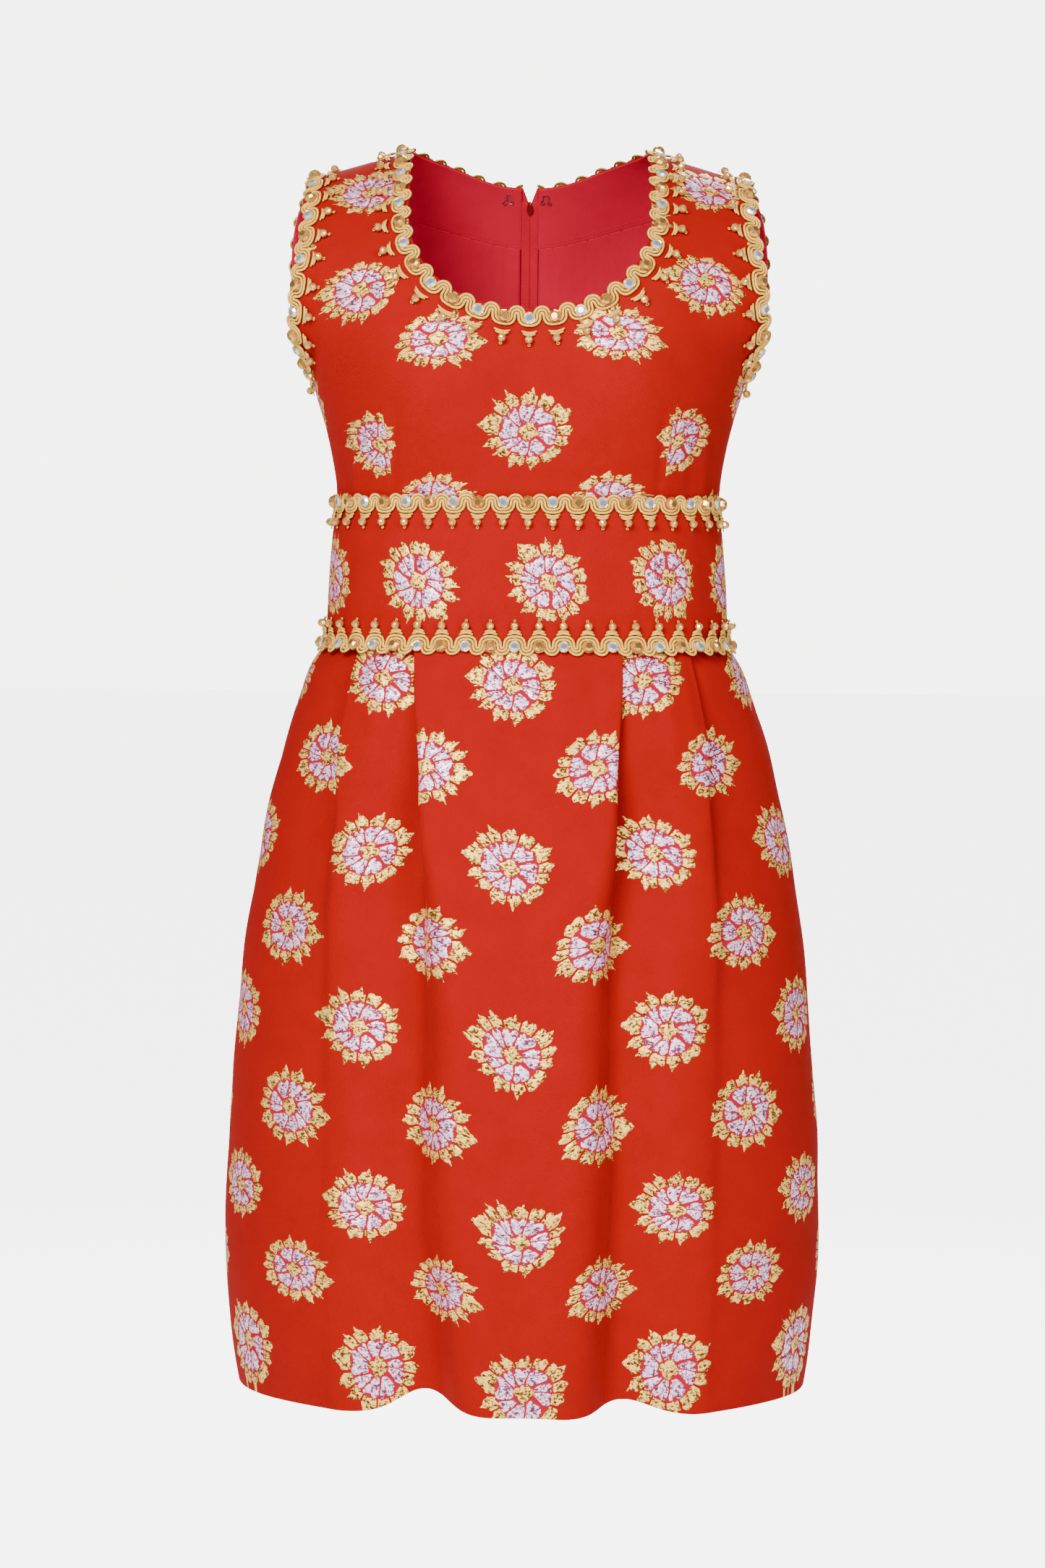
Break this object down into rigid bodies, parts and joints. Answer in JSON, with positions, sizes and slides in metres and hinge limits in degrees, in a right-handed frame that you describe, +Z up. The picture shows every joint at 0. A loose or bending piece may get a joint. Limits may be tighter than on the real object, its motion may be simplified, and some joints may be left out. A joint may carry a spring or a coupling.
{
  "type": "cocktail dress",
  "caption": "Sleeveless empire-line cocktail dress in red brocade with a midriff band, pleated barrel skirt and jewelled gimp braid.",
  "frame": {"origin": "midway between the two neck points, where a wearer's shoulders carry the dress", "axes": "+Z up, the front faces -Y, the picture's right is +X"},
  "size_m": [0.4444, 0.3381, 0.92],
  "materials": {
    "red_brocade": "woven metallic flowers on crepe",
    "red_lining": "plain matt weave",
    "gold_braid": "metallic cord with clear and gold stones",
    "zip_tape_cloth": "woven tape",
    "zip_metal": "red enamel on brass",
    "hook_wire": "polished wire"
  },
  "bodies": {
    "dress": {"bodice_front": "red_brocade", "bodice_back_left": "red_brocade", "bodice_back_right": "red_brocade", "midriff_front": "red_brocade", "midriff_back_left": "red_brocade", "midriff_back_right": "red_brocade", "skirt_front": "red_brocade", "skirt_back_left": "red_brocade", "skirt_back_right": "red_brocade", "facing_back_left": "red_lining", "facing_back_right": "red_lining", "lining_back_left": "red_lining", "lining_back_right": "red_lining", "zip_tape_left": "zip_tape_cloth", "zip_tape_right": "zip_tape_cloth", "zip_slider": "zip_metal", "hook": "hook_wire", "eye": "hook_wire", "braid_neck": "gold_braid", "braid_armhole_left": "gold_braid", "braid_armhole_right": "gold_braid", "braid_empire": "gold_braid", "braid_waist": "gold_braid"},
    "pull": {"zip_pull": "zip_metal"}
  },
  "joints": [
    {"name": "zip_pull_hinge", "type": "hinge", "parent": "dress", "child": "pull", "pos_m": [0, 0.07832, -0.0327], "axis": [1, 0, 0], "range_deg": [0, 140]}
  ]
}
